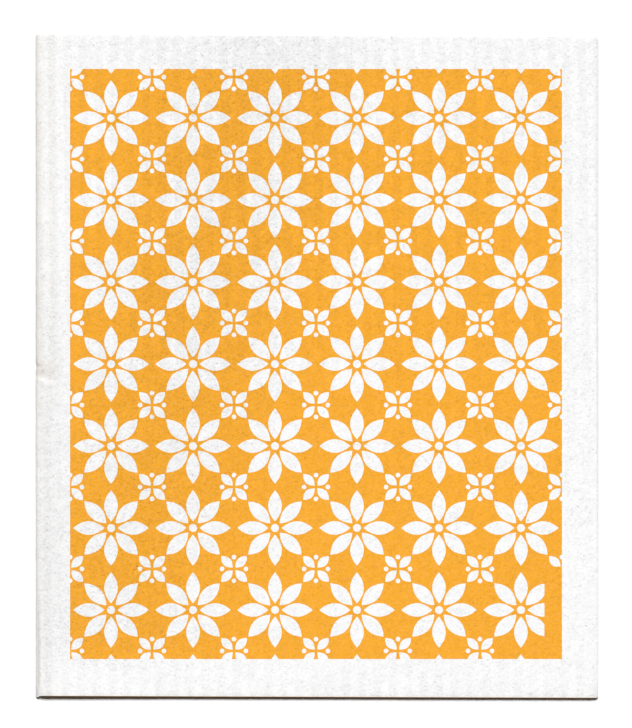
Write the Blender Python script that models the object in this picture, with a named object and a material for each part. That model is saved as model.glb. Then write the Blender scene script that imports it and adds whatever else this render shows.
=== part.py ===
"""Printed sponge cloth, lying flat on its ribs with the printed face up.

Metres. +Z is up, +Y is the head of the print, and the origin is under the middle of the cloth.
A ribbed web is extruded from its section, pressed down along the rim and at the dent,
then cut to the outline and nicked at the left edge.
"""

import math

import bmesh
import bpy
from mathutils import Matrix, Vector

# The cut cloth
CLOTH_WIDTH = 0.170
CLOTH_LENGTH = 0.200
CORNER_RADIUS = 0.0006

# The ribbed web, thickest at its ribs, with grooves in the printed face and in the back
RIB_THICKNESS = 0.0020
RIB_PITCH = 0.00472
RIB_LAND = 0.0015
RIB_FLANK = 0.00085
FACE_GROOVE_DEPTH = 0.00016
BACK_GROOVE_DEPTH = 0.0004
RIB_LEAN = math.radians(0.72)
RIB_SHIFT = -0.0013

# The rim that the cutting die presses down, which is broad along the left edge
RIM_WIDTH = 0.0005
RIM_DROP = 0.00025
LEFT_RIM_WIDTH = 0.0018
LEFT_RIM_DROP = 0.0009

# The dent that runs in from the left edge, and the nick in the edge above it
DENT_Y = -0.0021
DENT_LENGTH = 0.0075
DENT_WIDTH = 0.0024
DENT_DEPTH = 0.0003
DENT_TURN = math.radians(-17)
NICK_Y = 0.0008
NICK_WIDTH = 0.0009
NICK_DEPTH = 0.0007

# The printed field, and the plain strip in its lower right corner
FIELD_WIDTH = 0.1488
FIELD_LENGTH = 0.1785
FIELD_X = -0.0004
FIELD_Y = 0.0009
STRIP_WIDTH = 0.0053
STRIP_LENGTH = 0.028

# The print's motifs: rosettes on a square grid, with a small flower and four dots between them
MOTIF_PITCH = 0.0248
ROSETTE_PETALS = 8
ROSETTE_HEART = 0.0020
ROSETTE_RADIUS = 0.0114
ROSETTE_PETAL_WIDTH = 0.0041
ROSETTE_DOT = 0.0012
FLOWER_PETALS = 4
FLOWER_HEART = 0.0006
FLOWER_RADIUS = 0.0055
FLOWER_PETAL_WIDTH = 0.0026
FLOWER_DOT = 0.0007
FLOWER_DOT_RADIUS = 0.0036

SPONGE_WHITE = (0.90, 0.90, 0.885, 1)
PRINT_ORANGE = (0.92, 0.418, 0.040, 1)

# Facets of the curves, and how far a cutter reaches past what it cuts
FLANK_STEPS = 3
RIM_STEPS = 4
RIM_OVERRUN = 0.1
DENT_STEPS = 2
CORNER_STEPS = 4
CUT_CLEARANCE = 0.001


def clear_scene():
    for old in list(bpy.data.objects):
        bpy.data.objects.remove(old)


def object_from(name, shape):
    mesh = bpy.data.meshes.new(name)
    shape.to_mesh(mesh)
    shape.free()
    made = bpy.data.objects.new(name, mesh)
    bpy.context.collection.objects.link(made)
    return made


def prism(outline, low, high):
    """A closed upright prism over an anticlockwise outline of (x, y) points."""
    shape = bmesh.new()
    base = shape.faces.new([shape.verts.new((x, y, low)) for x, y in outline])
    base.normal_flip()
    risen = bmesh.ops.extrude_face_region(shape, geom=[base])["geom"]
    bmesh.ops.translate(
        shape,
        verts=[item for item in risen if isinstance(item, bmesh.types.BMVert)],
        vec=(0, 0, high - low),
    )
    bmesh.ops.recalc_face_normals(shape, faces=shape.faces)
    return shape


def rib_profile(middle, surface, depth):
    """(x, z) points over one rib, left to right: its left flank, its land and its right flank.

    depth is how far the groove lies beside the surface, negative for grooves in the back.
    """
    falls = [
        (step / FLANK_STEPS, (1 - math.cos(math.pi * step / FLANK_STEPS)) / 2)
        for step in range(FLANK_STEPS + 1)
    ]
    right = [
        (middle + RIB_LAND / 2 + RIB_FLANK * run, surface - depth * fall)
        for run, fall in falls
    ]
    left = [(2 * middle - x, z) for x, z in reversed(right)]
    return left + right


def ribbed_web():
    """The web before it is cut: its section, extruded along the ribs, which lean to the left."""
    reach = CLOTH_LENGTH / 2 + CUT_CLEARANCE
    spread = CLOTH_WIDTH / 2 + CUT_CLEARANCE + reach * abs(math.tan(RIB_LEAN)) + abs(RIB_SHIFT)
    ribs = math.ceil(spread / RIB_PITCH)
    middles = [RIB_SHIFT + RIB_PITCH * number for number in range(-ribs, ribs + 1)]
    face = [
        point for middle in middles for point in rib_profile(middle, RIB_THICKNESS, FACE_GROOVE_DEPTH)
    ]
    back = [point for middle in middles for point in rib_profile(middle, 0, -BACK_GROOVE_DEPTH)]

    run = (reach + spread * abs(math.sin(RIB_LEAN))) / math.cos(RIB_LEAN)
    web = bmesh.new()
    end = web.faces.new([web.verts.new((x, -run, z)) for x, z in back + face[::-1]])
    drawn = bmesh.ops.extrude_face_region(web, geom=[end])["geom"]
    bmesh.ops.translate(
        web,
        verts=[item for item in drawn if isinstance(item, bmesh.types.BMVert)],
        vec=(0, 2 * run, 0),
    )
    bmesh.ops.rotate(web, verts=web.verts, matrix=Matrix.Rotation(RIB_LEAN, 3, "Z"))
    bmesh.ops.recalc_face_normals(web, faces=web.faces)
    return web


def rim_sides():
    """(inward direction, place of the cut along it, rim width, rim drop) for each of the four sides."""
    return (
        (Vector((1, 0, 0)), -CLOTH_WIDTH / 2, LEFT_RIM_WIDTH, LEFT_RIM_DROP),
        (Vector((-1, 0, 0)), -CLOTH_WIDTH / 2, RIM_WIDTH, RIM_DROP),
        (Vector((0, 1, 0)), -CLOTH_LENGTH / 2, RIM_WIDTH, RIM_DROP),
        (Vector((0, -1, 0)), -CLOTH_LENGTH / 2, RIM_WIDTH, RIM_DROP),
    )


def sunk(inset, width, drop):
    """How far the rim lies below the rest of the face, at an inset from the cut."""
    share = min(max(inset / width, -RIM_OVERRUN), 1)
    return drop * (1 - share) ** 2


def score(web, point, direction, reach=math.inf):
    """A line across the printed face through a point and square to a direction, left of reach."""
    upper = [
        face for face in web.faces if face.normal.z > 0.5 and face.calc_center_median().x < reach
    ]
    edges = {edge for face in upper for edge in face.edges}
    corners = {corner for face in upper for corner in face.verts}
    bmesh.ops.bisect_plane(web, geom=[*corners, *edges, *upper], plane_co=point, plane_no=direction)


def printed_corners(web):
    return {corner for face in web.faces if face.normal.z > 0.5 for corner in face.verts}


def press_rim(web):
    """The printed face sinks towards each cut."""
    for inward, cut, width, _ in rim_sides():
        for step in range(RIM_STEPS + 1):
            share = 1 - step * (1 + RIM_OVERRUN) / RIM_STEPS
            score(web, inward * (cut + width * share), inward)
    for corner in printed_corners(web):
        corner.co.z -= sum(
            sunk(corner.co.dot(inward) - cut, width, drop) for inward, cut, width, drop in rim_sides()
        )


def press_dent(web):
    """The printed face sinks along a line in from the left edge, in a valley that fades out at its end."""
    turn = Matrix.Rotation(DENT_TURN, 3, "Z")
    inward = turn @ Vector((1, 0, 0))
    sideways = turn @ Vector((0, 1, 0))
    root = Vector((-CLOTH_WIDTH / 2, DENT_Y, 0))
    reach = (root + inward * DENT_LENGTH).x
    for step in range(-DENT_STEPS, DENT_STEPS + 1):
        score(web, root + sideways * DENT_WIDTH / 2 * step / DENT_STEPS, sideways, reach)
    for corner in printed_corners(web):
        away = corner.co - root
        along = min(max(away.dot(inward) / DENT_LENGTH, 0), 1)
        across = min(abs(away.dot(sideways)) / (DENT_WIDTH / 2), 1)
        corner.co.z -= DENT_DEPTH * (1 - along) * (1 + math.cos(math.pi * across)) / 2


def cut_outline():
    """The rectangle that the die cuts, with its corners rounded."""
    across = CLOTH_WIDTH / 2 - CORNER_RADIUS
    along = CLOTH_LENGTH / 2 - CORNER_RADIUS
    outline = []
    for quarter, (x, y) in enumerate(
        ((across, along), (-across, along), (-across, -along), (across, -along))
    ):
        for step in range(CORNER_STEPS + 1):
            turn = (quarter + step / CORNER_STEPS) * math.pi / 2
            outline.append((x + CORNER_RADIUS * math.cos(turn), y + CORNER_RADIUS * math.sin(turn)))
    return prism(outline, -CUT_CLEARANCE, RIB_THICKNESS + CUT_CLEARANCE)


def nick_cutter():
    """An upright wedge that opens past the left edge."""
    edge = -CLOTH_WIDTH / 2
    half_mouth = NICK_WIDTH / 2 * (NICK_DEPTH + CUT_CLEARANCE) / NICK_DEPTH
    outline = (
        (edge - CUT_CLEARANCE, NICK_Y - half_mouth),
        (edge + NICK_DEPTH, NICK_Y),
        (edge - CUT_CLEARANCE, NICK_Y + half_mouth),
    )
    return prism(outline, -CUT_CLEARANCE, RIB_THICKNESS + CUT_CLEARANCE)


def cut_with(cloth, name, shape, operation):
    cutter = object_from(name, shape)
    cutter.hide_render = True
    cutter.display_type = "WIRE"
    modifier = cloth.modifiers.new(name, "BOOLEAN")
    modifier.object = cutter
    modifier.operation = operation


def calculate(tree, operation, *values):
    """One Math node; each value is a number or another node's output."""
    node = tree.nodes.new("ShaderNodeMath")
    node.operation = operation
    for socket, value in zip(node.inputs, values):
        if isinstance(value, bpy.types.NodeSocket):
            tree.links.new(value, socket)
        else:
            socket.default_value = value
    return node.outputs["Value"]


def within(tree, value, middle, half_size):
    """1 where the value lies less than half_size from the middle."""
    away = calculate(tree, "ABSOLUTE", calculate(tree, "SUBTRACT", value, middle))
    return calculate(tree, "LESS_THAN", away, half_size)


def grid_cell(tree, x, y, start_x, start_y):
    """Distance and angle from the nearest point of a motif grid that has one point at the start."""
    half = MOTIF_PITCH / 2
    across = calculate(tree, "WRAP", calculate(tree, "SUBTRACT", x, start_x), half, -half)
    along = calculate(tree, "WRAP", calculate(tree, "SUBTRACT", y, start_y), half, -half)
    squares = [calculate(tree, "MULTIPLY", side, side) for side in (across, along)]
    distance = calculate(tree, "SQRT", calculate(tree, "ADD", *squares))
    return distance, calculate(tree, "ARCTAN2", along, across)


def folded(tree, distance, angle, count, turn):
    """(along, across) the nearest of count equal arms round the grid point."""
    half = math.pi / count
    bent = calculate(tree, "WRAP", calculate(tree, "SUBTRACT", angle, turn), half, -half)
    return (
        calculate(tree, "MULTIPLY", distance, calculate(tree, "COSINE", bent)),
        calculate(tree, "MULTIPLY", distance, calculate(tree, "SINE", bent)),
    )


def petal(tree, along, across, start, end, width):
    """1 inside a pointed petal that lies along an arm from start to end."""
    share = calculate(tree, "DIVIDE", calculate(tree, "SUBTRACT", along, start), end - start)
    rest = calculate(tree, "SUBTRACT", 1, share)
    bulge = calculate(tree, "MULTIPLY", calculate(tree, "MULTIPLY", share, rest), 2 * width)
    return calculate(tree, "LESS_THAN", calculate(tree, "ABSOLUTE", across), bulge)


def dot(tree, along, across, place, radius):
    """1 inside a round dot that sits on an arm at a place."""
    offset = calculate(tree, "SUBTRACT", along, place)
    squares = [calculate(tree, "MULTIPLY", side, side) for side in (offset, across)]
    return calculate(tree, "LESS_THAN", calculate(tree, "ADD", *squares), radius**2)


def motifs(tree, x, y):
    """1 on the bare sponge of the rosettes, flowers and dots."""
    distance, angle = grid_cell(tree, x, y, FIELD_X + MOTIF_PITCH / 2, FIELD_Y)
    arm = folded(tree, distance, angle, ROSETTE_PETALS, 0)
    shapes = [
        petal(tree, *arm, ROSETTE_HEART, ROSETTE_RADIUS, ROSETTE_PETAL_WIDTH),
        calculate(tree, "LESS_THAN", distance, ROSETTE_DOT),
    ]
    distance, angle = grid_cell(tree, x, y, FIELD_X, FIELD_Y + MOTIF_PITCH / 2)
    arm = folded(tree, distance, angle, FLOWER_PETALS, math.pi / 4)
    shapes.append(petal(tree, *arm, FLOWER_HEART, FLOWER_RADIUS, FLOWER_PETAL_WIDTH))
    arm = folded(tree, distance, angle, FLOWER_PETALS, 0)
    shapes.append(dot(tree, *arm, FLOWER_DOT_RADIUS, FLOWER_DOT))
    joined = shapes[0]
    for shape in shapes[1:]:
        joined = calculate(tree, "MAXIMUM", joined, shape)
    return joined


def ink(tree, x, y, z):
    """1 where the printed face carries ink: the field without its motifs, with its plain strip."""
    field = calculate(
        tree,
        "MULTIPLY",
        within(tree, x, FIELD_X, FIELD_WIDTH / 2),
        within(tree, y, FIELD_Y, FIELD_LENGTH / 2),
    )
    strip = calculate(
        tree,
        "MULTIPLY",
        calculate(tree, "GREATER_THAN", x, FIELD_X + FIELD_WIDTH / 2 - STRIP_WIDTH),
        calculate(tree, "LESS_THAN", y, FIELD_Y - FIELD_LENGTH / 2 + STRIP_LENGTH),
    )
    ground = calculate(tree, "SUBTRACT", 1, motifs(tree, x, y))
    covered = calculate(tree, "MULTIPLY", field, calculate(tree, "MAXIMUM", ground, strip))
    printed_side = calculate(tree, "GREATER_THAN", z, RIB_THICKNESS / 2)
    return calculate(tree, "MULTIPLY", covered, printed_side)


def printed_sponge():
    """White cellulose sponge with the orange print on its face."""
    material = bpy.data.materials.new("printed_sponge")
    material.use_nodes = True
    tree = material.node_tree
    place = tree.nodes.new("ShaderNodeSeparateXYZ")
    tree.links.new(tree.nodes.new("ShaderNodeTexCoord").outputs["Object"], place.inputs["Vector"])
    colour = tree.nodes.new("ShaderNodeMix")
    colour.data_type = "RGBA"
    colour.inputs["A"].default_value = SPONGE_WHITE
    colour.inputs["B"].default_value = PRINT_ORANGE
    tree.links.new(ink(tree, *place.outputs), colour.inputs["Factor"])
    shader = tree.nodes["Principled BSDF"]
    tree.links.new(colour.outputs["Result"], shader.inputs["Base Color"])
    shader.inputs["Roughness"].default_value = 0.95
    shader.inputs["Specular IOR Level"].default_value = 0.2
    shader.inputs["Metallic"].default_value = 0
    return material


def sponge_cloth():
    web = ribbed_web()
    press_rim(web)
    press_dent(web)
    cloth = object_from("sponge_cloth", web)
    cut_with(cloth, "cut_outline", cut_outline(), "INTERSECT")
    cut_with(cloth, "nick", nick_cutter(), "DIFFERENCE")
    cloth.data.materials.append(printed_sponge())


clear_scene()
sponge_cloth()
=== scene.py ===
import math

import bpy
import numpy as np
from mathutils import Matrix, Vector


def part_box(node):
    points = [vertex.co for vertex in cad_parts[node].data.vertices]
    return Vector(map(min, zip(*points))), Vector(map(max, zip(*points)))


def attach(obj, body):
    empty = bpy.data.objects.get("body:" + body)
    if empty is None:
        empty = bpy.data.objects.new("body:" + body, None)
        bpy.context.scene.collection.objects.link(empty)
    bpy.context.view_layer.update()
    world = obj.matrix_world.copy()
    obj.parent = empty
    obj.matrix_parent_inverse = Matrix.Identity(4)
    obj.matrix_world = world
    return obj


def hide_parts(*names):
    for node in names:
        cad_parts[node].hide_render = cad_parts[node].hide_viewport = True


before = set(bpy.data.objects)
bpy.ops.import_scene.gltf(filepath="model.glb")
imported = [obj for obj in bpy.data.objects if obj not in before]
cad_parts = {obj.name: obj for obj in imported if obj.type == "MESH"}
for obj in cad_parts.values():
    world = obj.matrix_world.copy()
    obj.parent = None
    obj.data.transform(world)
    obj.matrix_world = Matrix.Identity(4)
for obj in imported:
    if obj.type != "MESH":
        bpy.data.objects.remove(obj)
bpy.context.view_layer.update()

# The camera looks straight down on the middle of the printed field through a long lens, so that the
# cloth's sides stay parallel in the picture, which is 632 by 728 pixels.
low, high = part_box("sponge_cloth")
field_x = -0.0004
field_y = 0.0009
pixels_high = 728
pixels_per_metre = 3306
camera_height = 2.0
camera_reach = 10

picture_height = pixels_high / pixels_per_metre
camera_data = bpy.data.cameras.new("camera")
camera_data.lens = camera_data.sensor_width * camera_height / picture_height
camera_data.clip_end = camera_reach
camera = bpy.data.objects.new("camera", camera_data)
camera.location = (field_x, field_y, high.z + camera_height)
bpy.context.collection.objects.link(camera)
bpy.context.scene.camera = camera

# One broad lamp high beyond the cloth's head gives nearly all the light. It shines along the ribs, so
# only the foot of the cloth throws a shadow. The room adds a little warm light and shows white.
key_height = math.radians(57)
key_breadth = math.radians(20)
key_share = 0.954
key_tint = (1, 1.0075, 1.015)
room_glow = (0.046, 0.038, 0.03, 1)
room_white = (1, 1, 1, 1)

key_data = bpy.data.lights.new("key", "SUN")
key_data.energy = math.pi * key_share / math.sin(key_height)
key_data.angle = key_breadth
key_data.color = key_tint
key = bpy.data.objects.new("key", key_data)
key.rotation_euler = (key_height - math.pi / 2, 0, 0)
bpy.context.collection.objects.link(key)


def seen_as(tree, glow, white):
    """A colour that is white to the eye, and only a glow to the things that it lights."""
    node = tree.nodes.new("ShaderNodeMix")
    node.data_type = "RGBA"
    node.inputs["A"].default_value = glow
    node.inputs["B"].default_value = white
    seen = tree.nodes.new("ShaderNodeLightPath").outputs["Is Camera Ray"]
    tree.links.new(seen, node.inputs["Factor"])
    return node.outputs["Result"]


world = bpy.data.worlds.new("room")
world.use_nodes = True
tree = world.node_tree
tree.links.new(seen_as(tree, room_glow, room_white), tree.nodes["Background"].inputs["Color"])
bpy.context.scene.world = world
bpy.context.scene.view_settings.view_transform = "Standard"

# The cloth lies on a plain table top, which is white to the eye and grey to the light that it returns.
table_size = 6
table_glow = (0.32, 0.3, 0.27, 1)
table_white = (1.03, 1.03, 1.03, 1)

bpy.ops.object.select_all(action="DESELECT")
bpy.ops.mesh.primitive_plane_add(size=table_size, location=(0, 0, 0))
floor = bpy.context.object
floor.name = "table_top"
table_paint = bpy.data.materials.new("table_white")
table_paint.use_nodes = True
tree = table_paint.node_tree
matt = tree.nodes.new("ShaderNodeBsdfDiffuse")
tree.links.new(seen_as(tree, table_glow, table_white), matt.inputs["Color"])
tree.links.new(matt.outputs[0], tree.nodes["Material Output"].inputs["Surface"])
floor.data.materials.append(table_paint)

# The sponge cloth is one sheet of cellulose sponge, cast with ribs on a belt and die-cut while dry.
# It starts as a flat grid whose columns follow the ribs, which lean a little to the left and bow.
rib_pitch = 0.00472
rib_land = 0.0015
rib_flank = 0.00085
rib_shift = -0.00146
rib_lean = 0.0093
rib_bow = 0.02
column_places = np.array([-1.6, -1.175, -0.7, 0, 0.7, 1.175, 1.6, 2.36]) / 1000
row_pitch = 0.00075
spare = 0.0015

width, length, thickness = high - low
ribs = 2 * math.ceil((width / 2 + spare - rib_shift) / rib_pitch)
rows = round((length + 2 * spare) / row_pitch)
bpy.ops.object.select_all(action="DESELECT")
bpy.ops.mesh.primitive_grid_add(
    x_subdivisions=ribs * len(column_places), y_subdivisions=rows, size=1, location=(0, 0, 0)
)
cloth = bpy.context.object
cloth.name = "printed_cloth"


def points_of(piece):
    """The places of a mesh's points, one row each."""
    places = np.empty(len(piece.data.vertices) * 3, np.float32)
    piece.data.vertices.foreach_get("co", places)
    return places.reshape(-1, 3).astype(float)


def move_points(piece, places):
    piece.data.vertices.foreach_set("co", places.astype(np.float32).ravel())
    piece.data.update()


def pick(piece, chosen, kind="VERT"):
    """Edit mode, with only the chosen points or edges selected."""
    bpy.ops.object.mode_set(mode="EDIT")
    bpy.ops.mesh.select_mode(type=kind)
    bpy.ops.mesh.select_all(action="DESELECT")
    bpy.ops.object.mode_set(mode="OBJECT")
    items = piece.data.vertices if kind == "VERT" else piece.data.edges
    items.foreach_set("select", chosen)
    bpy.ops.object.mode_set(mode="EDIT")


def drift_at(y):
    """How far to the left a rib has moved at y, because it leans and bows."""
    return y * (rib_lean + y * rib_bow)


places = points_of(cloth)
column = np.rint((places[:, 0] + 0.5) * ribs * len(column_places)).astype(int)
rib, step = np.divmod(column, len(column_places))
places[:, 1] *= length + 2 * spare
middle_of_rib = (rib - ribs / 2) * rib_pitch
places[:, 0] = middle_of_rib + column_places[step] + rib_shift - drift_at(places[:, 1])
move_points(cloth, places)

# The die cuts it to a rectangle that is not quite square, with corners rounded in three cuts each.
# Lines beside each cut carry the rim that the die presses down.
foot_turn = math.radians(-0.21)
head_turn = math.radians(-0.24)
corner_radius = 0.0006
corner_cuts = (0.25, 0.5, 0.75)
merge_distance = 1e-6
cut_lines = {
    "left": low.x - 0.0002,
    "foot": low.y + 0.00018,
    "right": high.x - 0.00006,
    "head": high.y + 0.00025,
}
sides = {
    "left": (Vector((cut_lines["left"], 0, 0)), Vector((1, 0, 0))),
    "foot": (Vector((0, cut_lines["foot"], 0)), Matrix.Rotation(foot_turn, 3, "Z") @ Vector((0, 1, 0))),
    "right": (Vector((cut_lines["right"], 0, 0)), Vector((-1, 0, 0))),
    "head": (Vector((0, cut_lines["head"], 0)), Matrix.Rotation(head_turn, 3, "Z") @ Vector((0, -1, 0))),
}
rim_lines = {
    "left": (0.0002, 0.0005, 0.0009, 0.0014, 0.0021),
    "foot": (0.0002, 0.0005, 0.0008),
    "right": (0.0002, 0.0005, 0.0008),
    "head": (0.0003, 0.0007),
}


def cut(line_point, inward, clear):
    """A cut right through the sheet, which drops what lies behind it if clear is set."""
    bpy.ops.mesh.select_all(action="SELECT")
    bpy.ops.mesh.bisect(
        plane_co=line_point, plane_no=inward, threshold=merge_distance, clear_inner=clear
    )


def meeting(one, other):
    """Where two cut lines meet."""
    (point, normal), (other_point, other_normal) = one, other
    reach = np.linalg.solve(
        [normal[:2], other_normal[:2]], [normal.dot(point), other_normal.dot(other_point)]
    )
    return Vector((*reach, 0))


bpy.ops.object.mode_set(mode="EDIT")
bpy.ops.mesh.select_mode(type="VERT")
for line_point, inward in sides.values():
    cut(line_point, inward, True)
names = list(sides)
for name, following in zip(names, names[1:] + names[:1]):
    corner = meeting(sides[name], sides[following])
    middle = corner + (sides[name][1] + sides[following][1]) * corner_radius
    for share in corner_cuts:
        inward = (sides[name][1].lerp(sides[following][1], share)).normalized()
        cut(middle - inward * corner_radius, inward, True)
for name, insets in rim_lines.items():
    point, inward = sides[name]
    for inset in insets:
        cut(point + inward * inset, inward, False)
bpy.ops.object.mode_set(mode="OBJECT")

# A dent runs in from the left edge, where someone has pinched the sheet, and needs a finer grid.
dent_y = -0.0026
dent_length = 0.0095
finer_length = 1.1 * dent_length
finer_half_width = 0.0055
finer_cuts = 2

places = points_of(cloth)
near_dent = abs(places[:, 1] - dent_y) < finer_half_width
pick(cloth, (places[:, 0] < low.x + finer_length) & near_dent)
bpy.ops.mesh.subdivide(number_cuts=finer_cuts)

# The flat sheet gets its thickness, with two lines round the cut side. Its back keeps one row in
# sixteen, and all of them near its head and foot.
kept_step = 16
kept_row = 8
kept_margin = 0.0015
row_tolerance = 0.02
crosswise_slope = 0.05
wall_lines = 2

bpy.ops.mesh.select_all(action="SELECT")
bpy.ops.mesh.normals_make_consistent(inside=False)
bpy.ops.mesh.extrude_region_move(TRANSFORM_OT_translate={"value": (0, 0, -thickness)})
bpy.ops.object.mode_set(mode="OBJECT")


def edge_ends(piece):
    """The two end points of each edge, and how far it runs along x, y and z."""
    ends = np.empty(len(piece.data.edges) * 2, np.int32)
    piece.data.edges.foreach_get("vertices", ends)
    ends = points_of(piece)[ends.reshape(-1, 2)]
    return ends, abs(ends[:, 1] - ends[:, 0])


ends, run = edge_ends(cloth)
pick(cloth, run[:, 2] > thickness / 2, "EDGE")
bpy.ops.mesh.subdivide(number_cuts=wall_lines)
bpy.ops.object.mode_set(mode="OBJECT")
ends, run = edge_ends(cloth)
middle = ends.mean(axis=1)
row = (middle[:, 1] + length / 2 + spare) / ((length + 2 * spare) / rows)
kept = (abs(row - np.rint(row)) < row_tolerance) & (np.rint(row) % kept_step == kept_row)
crosswise = run[:, 1] < crosswise_slope * run[:, 0]
on_back = middle[:, 2] < -0.9 * thickness
inside = (middle[:, 1] > low.y + kept_margin) & (middle[:, 1] < high.y - kept_margin)
pick(cloth, on_back & crosswise & inside & ~kept, "EDGE")
bpy.ops.mesh.dissolve_edges(use_verts=True)
bpy.ops.mesh.select_all(action="SELECT")
bpy.ops.mesh.normals_make_consistent(inside=False)
bpy.ops.object.mode_set(mode="OBJECT")

# The ribs, rim, dent and nick are pressed into it, the left edge is rolled over furthest, and the foot is
# pressed thinner towards the right. A rim has its width, drop and steepness, a corner's press its reach in
# and up and its drop, and a pair of flanks the one towards the head and the one towards the foot.
face_groove_depth = 0.00016
back_groove_depth = 0.0004
rim_shapes = {
    "left": (0.0022, 0.00085, 3),
    "foot": (0.0012, 0.00006, 2),
    "right": (0.0010, 0.00027, 2),
    "head": (0.0009, 0.00008, 2),
}
ribless_rim = 0.004
left_rim_wave = 0.22
left_rim_wave_pitch = 0.112
left_rim_broad_y = 0.038
rib_end = 0.007
rib_end_steepness = 4
corner_presses = {"left": (0.0028, 0.0036, 0.0006), "right": (0.0024, 0.0030, 0.0002)}
foot_press_reach = 0.03
foot_press_steepness = 2
foot_press = 0.0003
foot_lift = 0.0002
foot_lift_width = 0.055
dent_turn = math.radians(-13.5)
dent_depth = 0.00028
dent_flanks = (0.0034, 0.0014)
crease_y = 0.0004
crease_length = 0.0042
crease_depth = 0.00015
crease_flanks = (0.0005, 0.0010)
pinch_length = 0.0013
pinch_depth = 0.00025
pinch_flanks = (0.0024, 0.0014)
nick_depth = 0.00015
tab_width = 0.0016
tab_length = 0.0006
tab_reach = 0.004


def fading(share):
    """1 at a share of 0, falling smoothly to 0 at 1 and beyond."""
    return (1 + np.cos(np.pi * np.clip(share, 0, 1))) / 2


def left_over(distance, reach):
    """1 at a distance of 0, falling evenly to 0 at the reach and beyond."""
    return np.clip(1 - distance / reach, 0, 1)


def valley(away, flanks):
    """1 along a valley's bottom, falling to 0 over a flank on its head side and one on its foot side."""
    return fading(np.where(away > 0, away / flanks[0], -away / flanks[1]))


def inset_from(side, places):
    point, inward = sides[side]
    return (places - np.array(point)) @ np.array(inward)


def beside_rib(places):
    """How far a place lies from the middle of its rib, measured across."""
    offset = places[:, 0] - rib_shift + drift_at(places[:, 1])
    return abs((offset + rib_pitch / 2) % rib_pitch - rib_pitch / 2)


places = points_of(cloth)
share_up = places[:, 2] / thickness + 1
groove = 1 - fading((beside_rib(places) - rib_land / 2) / rib_flank)
from_left = inset_from("left", places)
from_foot = inset_from("foot", places)
crown = 1 - groove * (1 - fading(from_left / ribless_rim))
fullness = 1 - crown * (1 - left_over(from_foot, rib_end) ** rib_end_steepness)
top = thickness - face_groove_depth * fullness
wave = np.cos(2 * math.pi * (places[:, 1] - left_rim_broad_y) / left_rim_wave_pitch)
for side, (rim_width, rim_drop, steepness) in rim_shapes.items():
    swell = 1 + left_rim_wave * wave if side == "left" else 1
    top -= swell * rim_drop * left_over(inset_from(side, places), swell * rim_width) ** steepness
for side, (reach_in, reach_up, drop) in corner_presses.items():
    top -= drop * fading(inset_from(side, places) / reach_in) * fading(from_foot / reach_up)
to_right = np.clip(places[:, 0] / width + 0.5, 0, 1)
foot_fall = foot_press * to_right - foot_lift * fading(from_left / foot_lift_width)
top -= foot_fall * left_over(from_foot, foot_press_reach) ** foot_press_steepness

turned = (places - np.array((low.x, dent_y, 0))) @ np.array(Matrix.Rotation(dent_turn, 3, "Z"))
top -= dent_depth * fading(turned[:, 0] / dent_length) * valley(turned[:, 1], dent_flanks)
past_crease = places[:, 1] - crease_y
top -= crease_depth * left_over(from_left, crease_length) * valley(past_crease, crease_flanks)
pinch = left_over(from_left, pinch_length) * valley(past_crease, pinch_flanks)
top -= pinch_depth * pinch
base = np.minimum(back_groove_depth * groove, top / 2)
places[:, 2] = base + (top - base) * share_up
places[:, 0] += nick_depth * pinch
places[:, 1] -= tab_length * fading(from_left / tab_width) * left_over(from_foot, tab_reach)
move_points(cloth, places)

# Drying leaves the face a little uneven, and the cut sides are rough with torn cell walls. Each kind of
# lump has its place, its direction, its size and its height.
lumps = {
    "slow_waves": ("face", "Z", 0.009, 0.00010),
    "small_lumps": ("face", "Z", 0.0021, 0.00006),
    "torn_across": ("cut_side", "X", 0.0009, 0.00016),
    "torn_along": ("cut_side", "Y", 0.0011, 0.00026),
}
sharp_edge = math.radians(40)

parts = {"face": share_up > 0.99, "cut_side": (share_up > 0.01) & (share_up < 0.99)}
for group, chosen in parts.items():
    cloth.vertex_groups.new(name=group).add(np.flatnonzero(chosen).tolist(), 1, "REPLACE")
bpy.ops.object.select_all(action="DESELECT")
cloth.select_set(True)
bpy.context.view_layer.objects.active = cloth
for name, (group, direction, size, strength) in lumps.items():
    clouds = bpy.data.textures.new(name, "CLOUDS")
    clouds.noise_scale = size
    uneven = cloth.modifiers.new(name, "DISPLACE")
    uneven.texture = clouds
    uneven.texture_coords = "LOCAL"
    uneven.vertex_group = group
    uneven.direction = direction
    uneven.strength = strength
    bpy.ops.object.modifier_apply(modifier=name)
bpy.ops.object.shade_smooth_by_angle(angle=sharp_edge)

# Cellulose sponge is white and matt. Fine fibres and pores speckle it grey, at half a millimetre and
# less, with a pinhole here and there. The same grain runs through the face, the back and the cut sides.
sponge_white = (0.96, 0.96, 0.96, 1)
sponge_gloss = 0.2
roughness_by_tone = (0.8, 1.1, 1, 0.88)
grain_stretch = (1.22, 0.98, 1)
fibre_turn, fibre_stretch = 55, (1, 1.8, 1)
crossing_turn, crossing_stretch = -40, (1, 2.2, 1)
pore_scale = 1300
pore_edge = (0.42, 0.12)
pore_share = (0.65, 0.9)
pinhole_scale = 150
pinhole_edge = (0.05, 0.02)
pinhole_share = (0.66, 0.72)
noise_middle = 0.5
contrast_by_clump = (0.7, 0.35, 0.6, 1.5)
tone_of = {
    "fibres": 0.4,
    "crossing": 0.23,
    "mottle": 0.12,
    "clumps": 0.14,
    "pores": -0.2,
    "pinholes": -0.4,
}
height_of = {"fibres": 0.5, "crossing": 0.3, "pores": -0.5, "pinholes": -1}


def calculate(tree, operation, *values):
    """One Math node; each value is a number or another node's output."""
    node = tree.nodes.new("ShaderNodeMath")
    node.operation = operation
    for socket, value in zip(node.inputs, values):
        if isinstance(value, bpy.types.NodeSocket):
            tree.links.new(value, socket)
        else:
            socket.default_value = value
    return node.outputs[0]


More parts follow.
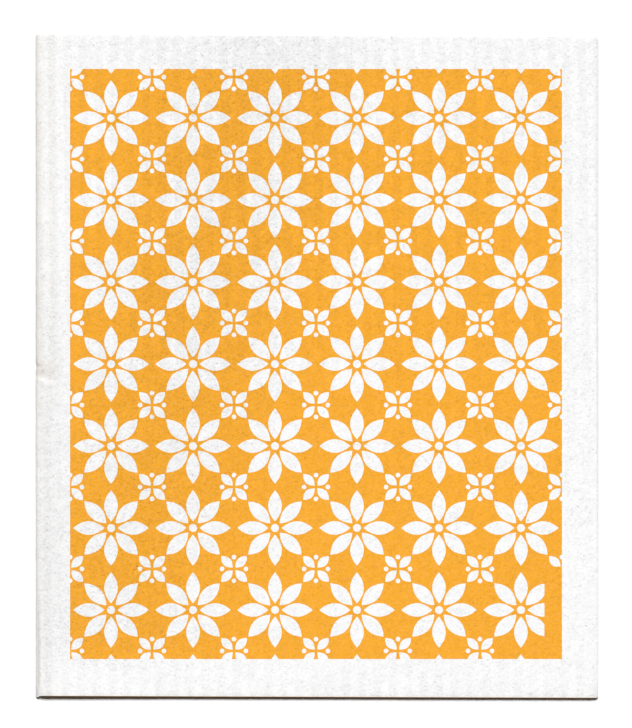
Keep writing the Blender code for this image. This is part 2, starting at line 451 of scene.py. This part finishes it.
def chained(tree, operation, *values):
    """Several values added, multiplied or compared, one after another."""
    result = values[0]
    for value in values[1:]:
        result = calculate(tree, operation, result, value)
    return result


def total(tree, *values):
    return chained(tree, "ADD", *values)


def product(tree, *values):
    return chained(tree, "MULTIPLY", *values)


def minus(tree, value, other):
    return calculate(tree, "SUBTRACT", value, other)


def apart(tree, value, other):
    return calculate(tree, "ABSOLUTE", minus(tree, value, other))


def ramp(tree, value, start, end, from_level=0, to_level=1):
    """A smooth step from one level to another, while the value goes from start to end."""
    node = tree.nodes.new("ShaderNodeMapRange")
    node.interpolation_type = "SMOOTHSTEP"
    for name, number in zip(
        ("From Min", "From Max", "To Min", "To Max"), (start, end, from_level, to_level)
    ):
        node.inputs[name].default_value = number
    tree.links.new(value, node.inputs["Value"])
    return node.outputs["Result"]


def texture(tree, kind, place, **settings):
    node = tree.nodes.new(kind)
    for name, number in settings.items():
        node.inputs[name].default_value = number
    tree.links.new(place, node.inputs["Vector"])
    return node.outputs


def noise(tree, place, **settings):
    return texture(tree, "ShaderNodeTexNoise", place, **settings)[0]


def stretched(tree, place, turn, scale):
    node = tree.nodes.new("ShaderNodeMapping")
    node.vector_type = "TEXTURE"
    node.inputs["Rotation"].default_value = (0, 0, math.radians(turn))
    node.inputs["Scale"].default_value = scale
    tree.links.new(place, node.inputs["Vector"])
    return node.outputs["Vector"]


def scattered(tree, place, scale, edge, share, channel):
    """Round spots, one in each cell of a random mesh, and only in a share of the cells."""
    cells = texture(tree, "ShaderNodeTexVoronoi", place, Scale=scale)
    chance = tree.nodes.new("ShaderNodeSeparateColor")
    tree.links.new(cells["Color"], chance.inputs[0])
    return product(
        tree, ramp(tree, cells["Distance"], *edge), ramp(tree, chance.outputs[channel], *share)
    )


def node_group(name, inputs, outputs):
    """A new group with its own input and output nodes; sockets are given as name and kind."""
    tree = bpy.data.node_groups.new(name, "ShaderNodeTree")
    for in_out, sockets in (("INPUT", inputs), ("OUTPUT", outputs)):
        for socket, kind in sockets.items():
            tree.interface.new_socket(socket, in_out=in_out, socket_type="NodeSocket" + kind)
    return tree, tree.nodes.new("NodeGroupInput"), tree.nodes.new("NodeGroupOutput")


grain, grain_in, grain_out = node_group(
    "sponge_grain", {"Place": "Vector", "Openness": "Float"}, {"Tone": "Float", "Height": "Float"}
)
place = stretched(grain, grain_in.outputs["Place"], 0, grain_stretch)
along_fibres = stretched(grain, place, fibre_turn, fibre_stretch)
along_crossing = stretched(grain, place, crossing_turn, crossing_stretch)
fibres = noise(grain, along_fibres, Scale=2300, Detail=2, Roughness=0.6, Distortion=0.5)
crossing = noise(grain, along_crossing, Scale=1700, Detail=2, Distortion=0.8)
mottle = noise(grain, place, Scale=300, Detail=2)
clumps = noise(grain, place, Scale=850, Detail=1, Distortion=0.5)
pores = product(
    grain,
    scattered(grain, place, pore_scale, pore_edge, pore_share, channel=0),
    grain_in.outputs["Openness"],
)
pinholes = scattered(grain, place, pinhole_scale, pinhole_edge, pinhole_share, channel=1)
fine = total(
    grain,
    product(grain, minus(grain, fibres, noise_middle), tone_of["fibres"]),
    product(grain, minus(grain, crossing, noise_middle), tone_of["crossing"]),
)
grain.links.new(
    total(
        grain,
        1,
        product(grain, fine, ramp(grain, clumps, *contrast_by_clump)),
        product(grain, minus(grain, mottle, noise_middle), tone_of["mottle"]),
        product(grain, minus(grain, clumps, noise_middle), tone_of["clumps"]),
        product(grain, pores, tone_of["pores"]),
        product(grain, pinholes, tone_of["pinholes"]),
    ),
    grain_out.inputs["Tone"],
)
grain.links.new(
    total(
        grain,
        product(grain, fibres, height_of["fibres"]),
        product(grain, crossing, height_of["crossing"]),
        product(grain, pores, height_of["pores"]),
        product(grain, pinholes, height_of["pinholes"]),
    ),
    grain_out.inputs["Height"],
)


def tinted(tree, colour, other, factor, blend="MIX"):
    """The colour mixed with another, or multiplied by it; each is a colour or a node's output."""
    node = tree.nodes.new("ShaderNodeMix")
    node.data_type = "RGBA"
    node.blend_type = blend
    for name, value in (("A", colour), ("B", other), ("Factor", factor)):
        if isinstance(value, bpy.types.NodeSocket):
            tree.links.new(value, node.inputs[name])
        else:
            node.inputs[name].default_value = value
    return node.outputs["Result"]


def coordinates(tree, place):
    node = tree.nodes.new("ShaderNodeSeparateXYZ")
    tree.links.new(place, node.inputs[0])
    return node.outputs


def sponge_material(name, openness, relief):
    """Matt sponge with its grain, which finish_with completes."""
    material = bpy.data.materials.new(name)
    material.use_nodes = True
    tree = material.node_tree
    place = tree.nodes.new("ShaderNodeTexCoord").outputs["Object"]
    speckle = tree.nodes.new("ShaderNodeGroup")
    speckle.node_tree = grain
    speckle.inputs["Openness"].default_value = openness
    tree.links.new(place, speckle.inputs["Place"])
    bump = tree.nodes.new("ShaderNodeBump")
    bump.inputs["Strength"].default_value = 1
    bump.inputs["Distance"].default_value = relief
    tree.links.new(speckle.outputs["Height"], bump.inputs["Height"])
    shader = tree.nodes["Principled BSDF"]
    shader.inputs["Specular IOR Level"].default_value = sponge_gloss
    tree.links.new(ramp(tree, speckle.outputs["Tone"], *roughness_by_tone), shader.inputs["Roughness"])
    tree.links.new(bump.outputs["Normal"], shader.inputs["Normal"])
    return material, tree, place, speckle.outputs["Tone"]


def finish_with(tree, colour, tone):
    """The sponge's colour, darkened and lightened by the tone of its grain."""
    base_colour = tree.nodes["Principled BSDF"].inputs["Base Color"]
    tree.links.new(tinted(tree, colour, tone, 1.0, "MULTIPLY"), base_colour)


# A brown tint runs along the upper edge of the foot, from just beside its left corner. It shows as a
# thin tan line on the face, and it is darker down the cut side.
tan = (0.97, 0.61, 0.28, 1)
brown = (0.8, 0.46, 0.2, 1)
foot_tint_edge = (0.00018, 0.00002)
foot_tint_rise = (0, 0.7 * thickness)
foot_tint_start = (low.x + 0.001, low.x + 0.0028)
foot_point, foot_inward = sides["foot"]


def browned(tree, place, colour, foot_tint):
    """The colour with the brown tint along the foot."""
    x, y, z = coordinates(tree, place)
    from_foot = total(
        tree,
        product(tree, x, foot_inward.x),
        product(tree, y, foot_inward.y),
        -foot_inward.dot(foot_point),
    )
    near = product(
        tree,
        ramp(tree, from_foot, *foot_tint_edge),
        ramp(tree, z, *foot_tint_rise),
        ramp(tree, x, *foot_tint_start),
    )
    return tinted(tree, colour, foot_tint, near)


bare_sponge, tree, place, tone = sponge_material("bare_sponge", openness=1.6, relief=0.00012)
finish_with(tree, browned(tree, place, sponge_white, brown), tone)

# The print is one orange ink, pressed through a screen and soaked into the face. It leaves the sponge
# bare in rosettes on a square grid, with a small flower and four dots between them, and a plain border.
ink_orange = (0.955, 0.42, 0.026, 1)
field_width = 0.1488
field_length = 0.1785
strip_width = 0.0053
strip_length = 0.028
motif_pitch = 0.0248
rosette_petals = 8
rosette_heart = 0.0020
rosette_radius = 0.0114
rosette_petal_width = 0.0041
rosette_dot = 0.0012
flower_petals = 4
flower_heart = 0.0006
flower_radius = 0.0055
flower_petal_width = 0.0026
flower_dot = 0.0007
flower_dot_radius = 0.0036
ink_edge = 0.00004
ink_wander = 0.00022
ink_cover = (0.4, 0.7, 1, 0.96)


def falling(tree, value, limit):
    """1 where the value is below the limit, with an edge as soft as the ink's."""
    return ramp(tree, value, limit + ink_edge, limit - ink_edge)


def distance_from(tree, across, along):
    squares = [product(tree, side, side) for side in (across, along)]
    return calculate(tree, "SQRT", total(tree, *squares))


def grid_cell(tree, x, y, start_x, start_y):
    """Distance and angle from the nearest point of a motif grid that has one point at the start."""
    half = motif_pitch / 2
    across = calculate(tree, "WRAP", minus(tree, x, start_x), half, -half)
    along = calculate(tree, "WRAP", minus(tree, y, start_y), half, -half)
    return distance_from(tree, across, along), calculate(tree, "ARCTAN2", along, across)


def folded(tree, distance, angle, count, turn):
    """(along, across) the nearest of count equal arms round the grid point."""
    half = math.pi / count
    bent = calculate(tree, "WRAP", minus(tree, angle, turn), half, -half)
    return (
        product(tree, distance, calculate(tree, "COSINE", bent)),
        product(tree, distance, calculate(tree, "SINE", bent)),
    )


def petal(tree, along, across, start, end, width):
    """1 inside a pointed petal that lies along an arm from start to end."""
    share = calculate(tree, "DIVIDE", minus(tree, along, start), end - start)
    bulge = product(tree, share, minus(tree, 1, share), 2 * width)
    return falling(tree, minus(tree, calculate(tree, "ABSOLUTE", across), bulge), 0)


def dot(tree, along, across, place, radius):
    """1 inside a round dot that sits on an arm at a place."""
    return falling(tree, distance_from(tree, minus(tree, along, place), across), radius)


def most(tree, *values):
    return chained(tree, "MAXIMUM", *values)


flower_print, print_in, print_out = node_group("flower_print", {"Place": "Vector"}, {"Ink": "Float"})
x, y, _ = coordinates(flower_print, print_in.outputs["Place"])
distance, angle = grid_cell(flower_print, x, y, field_x + motif_pitch / 2, field_y)
arm = folded(flower_print, distance, angle, rosette_petals, 0)
rosette = petal(flower_print, *arm, rosette_heart, rosette_radius, rosette_petal_width)
rosette_middle = falling(flower_print, distance, rosette_dot)
distance, angle = grid_cell(flower_print, x, y, field_x, field_y + motif_pitch / 2)
arm = folded(flower_print, distance, angle, flower_petals, math.pi / 4)
flower = petal(flower_print, *arm, flower_heart, flower_radius, flower_petal_width)
arm = folded(flower_print, distance, angle, flower_petals, 0)
dots = dot(flower_print, *arm, flower_dot_radius, flower_dot)
ground = minus(flower_print, 1, most(flower_print, rosette, rosette_middle, flower, dots))
beyond_strip = most(
    flower_print,
    minus(flower_print, field_x + field_width / 2 - strip_width, x),
    minus(flower_print, y, field_y - field_length / 2 + strip_length),
)
beyond_field = most(
    flower_print,
    minus(flower_print, apart(flower_print, x, field_x), field_width / 2),
    minus(flower_print, apart(flower_print, y, field_y), field_length / 2),
)
flower_print.links.new(
    product(
        flower_print,
        falling(flower_print, beyond_field, 0),
        most(flower_print, ground, falling(flower_print, beyond_strip, 0)),
    ),
    print_out.inputs["Ink"],
)

# The printed face has painted shade in its grooves, in a broad band that runs down from the head, along
# the left below its middle and a little at the foot. Its grain is stronger in the band and on the left.
# The painted shade in the grooves fades from the head down, and near the foot the grooves are painted
# lighter than the rib crowns.
groove_shade = 0.04
groove_by_length = (-0.055, 0.06, 0.15, 1)
groove_at_foot = (-0.078, -0.09, 0, -0.6)
band_turn = math.radians(14.5)
band_offset = 0.0411
band_edge = (0.045, 0.005)
band_end = (low.y + 0.004, low.y + 0.02)
band_shade = 0.052
band_grain = 0.3
left_edge = (0.0105, 0.006)
left_head = (0.045, 0.01)
left_foot = (-0.095, -0.03, 0.6, 1)
left_shade = 0.045
left_grain = 0.15
foot_shade = (-0.085, -0.092, 0, 0.008)
grain_by_length = (low.y, high.y, 0.77, 0.88)
grain_beside_groove = (0.0095, 0.012, -0.12, 0)

printed_sponge, tree, place, tone = sponge_material("printed_sponge", openness=1.0, relief=0.00006)
x, y, _ = coordinates(tree, place)
from_left = minus(tree, x, low.x)
drift = product(tree, y, calculate(tree, "MULTIPLY_ADD", y, rib_bow, rib_lean))
offset = total(tree, x, drift, -rib_shift)
beside = calculate(tree, "ABSOLUTE", calculate(tree, "WRAP", offset, rib_pitch / 2, -rib_pitch / 2))
# Painted shade in the grooves, which near the foot turns to painted light in them.
in_groove = product(
    tree,
    ramp(tree, beside, rib_land / 2, rib_land / 2 + rib_flank, 0, groove_shade),
    total(tree, ramp(tree, y, *groove_by_length), ramp(tree, y, *groove_at_foot)),
)


def along(tree, x, y, turn):
    """How far the place (x, y) lies along a line that is turned from the x axis."""
    return total(tree, product(tree, x, math.cos(turn)), product(tree, y, math.sin(turn)))


# Painted shade in a broad band down from the head, and along the left below the middle.
across_band = calculate(tree, "ABSOLUTE", total(tree, along(tree, x, y, -band_turn), band_offset))
in_band = product(tree, ramp(tree, across_band, *band_edge), ramp(tree, y, *band_end))
in_left = product(
    tree, ramp(tree, from_left, *left_edge), ramp(tree, y, *left_head), ramp(tree, y, *left_foot)
)

# Brown dust sits in the first groove from the left, which has painted shade as well, in the dent and its
# crease, and along the rolled left edge. It wears off towards the foot, but for one smudge on the edge
# just above it, of dust and painted shade.
dusty_white = (0.885, 0.845, 0.795, 1)
dust_specks = (0.46, 0.62)
dust_patches = (0.35, 0.65, 0.4, 1)
line_place = (0.005, -0.02, 0.0046, 0.0034)
line_edge = (0.0018, 0.0004)
line_shade = (0.03, -0.02, 0.003, 0.028)
line_dust = (-0.03, 0.03, 0.45, 0.85)
rolled_edge = (0.004, 0.0005)
rolled_foot = (-0.04, 0.02, 0.3, 1)
rolled_dust = 0.8
# The smudge is dust and painted shade.
smudge_and_shade_outer = (0.0001, 0.0006)
smudge_and_shade_inner = (0.0015, 0.0009)
smudge_and_shade_head = (-0.06, -0.092)
smudge_and_shade_foot = (low.y + 0.0028, low.y + 0.0042)
smudge_shade = 0.15
smudge_dust = 0.45
dent_end = (0.008, 0.001)
dent_below = (-0.0007, 0.0004)
dent_above = (0.0075, 0.0015)
dent_dust = 0.5
crease_edge = (0.0005, 0.0001)
crease_end = (crease_length, 0.0034)

# The first groove from the left has brown dust and painted shade.
in_line = ramp(tree, apart(tree, from_left, ramp(tree, y, *line_place)), *line_edge)
in_smudge_and_shade = product(
    tree,
    ramp(tree, from_left, *smudge_and_shade_outer),
    ramp(tree, from_left, *smudge_and_shade_inner),
    ramp(tree, y, *smudge_and_shade_head),
    ramp(tree, y, *smudge_and_shade_foot),
)
in_rolled = product(tree, ramp(tree, from_left, *rolled_edge), ramp(tree, y, *rolled_foot))
above_dent = minus(tree, y, dent_y)
past_dent = along(tree, from_left, above_dent, dent_turn + math.pi / 2)
in_dent = product(
    tree,
    ramp(tree, along(tree, from_left, above_dent, dent_turn), *dent_end),
    ramp(tree, past_dent, *dent_below),
    ramp(tree, past_dent, *dent_above),
)
in_crease = product(
    tree, ramp(tree, apart(tree, y, crease_y), *crease_edge), ramp(tree, from_left, *crease_end)
)
dust = total(
    tree,
    product(
        tree,
        in_line,
        ramp(tree, y, *line_dust),
        ramp(tree, noise(tree, place, Scale=1700, Detail=2), *dust_specks),
    ),
    product(
        tree,
        in_rolled,
        ramp(tree, noise(tree, place, Scale=220, Detail=1), *dust_patches),
        rolled_dust,
    ),
    product(tree, in_dent, dent_dust),
    in_crease,
    product(tree, in_smudge_and_shade, smudge_dust),
)
# All the painted shade on the printed face: grooves, band, left, first groove, smudge and foot.
shade = total(
    tree,
    in_groove,
    product(tree, in_band, band_shade),
    product(tree, in_left, left_shade),
    product(tree, in_line, ramp(tree, y, *line_shade)),
    product(tree, in_smudge_and_shade, smudge_shade),
    ramp(tree, y, *foot_shade),
)
grain_strength = total(
    tree,
    ramp(tree, y, *grain_by_length),
    ramp(tree, from_left, *grain_beside_groove),
    product(tree, in_band, band_grain),
    product(tree, in_left, left_grain),
)
shaded = product(
    tree,
    calculate(tree, "MULTIPLY_ADD", minus(tree, tone, 1), grain_strength, 1),
    minus(tree, 1, shade),
)

# The ink lies over all that. Its edges wander slightly where the sponge has drawn it in, and it covers
# the sponge less in small spots.
drawn_in = tree.nodes.new("ShaderNodeVectorMath")
drawn_in.operation = "MULTIPLY_ADD"
wander = texture(tree, "ShaderNodeTexNoise", place, Scale=1400, Detail=2)[1]
tree.links.new(wander, drawn_in.inputs[0])
drawn_in.inputs[1].default_value = (ink_wander, ink_wander, 0)
tree.links.new(place, drawn_in.inputs[2])
centred = tree.nodes.new("ShaderNodeVectorMath")
centred.operation = "ADD"
centred.inputs[1].default_value = (-ink_wander / 2, -ink_wander / 2, 0)
tree.links.new(drawn_in.outputs[0], centred.inputs[0])
pattern = tree.nodes.new("ShaderNodeGroup")
pattern.node_tree = flower_print
tree.links.new(centred.outputs[0], pattern.inputs["Place"])
coverage = product(
    tree,
    pattern.outputs["Ink"],
    ramp(tree, noise(tree, place, Scale=1100, Detail=3), *ink_cover),
)
bare = tinted(tree, sponge_white, dusty_white, calculate(tree, "MINIMUM", 1, dust))
printed = tinted(tree, bare, ink_orange, coverage)
finish_with(tree, browned(tree, place, printed, tan), shaded)

# The printed sponge is the face, and the back and the cut sides are bare.
cloth.data.materials.append(printed_sponge)
cloth.data.materials.append(bare_sponge)
face_group = cloth.vertex_groups["face"].index
in_face = np.array(
    [[mark.group for mark in point.groups] == [face_group] for point in cloth.data.vertices]
)
slots = [0 if in_face[list(face.vertices)].all() else 1 for face in cloth.data.polygons]
cloth.data.polygons.foreach_set("material_index", slots)
cloth.vertex_groups.clear()

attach(cloth, "root")
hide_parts("sponge_cloth")
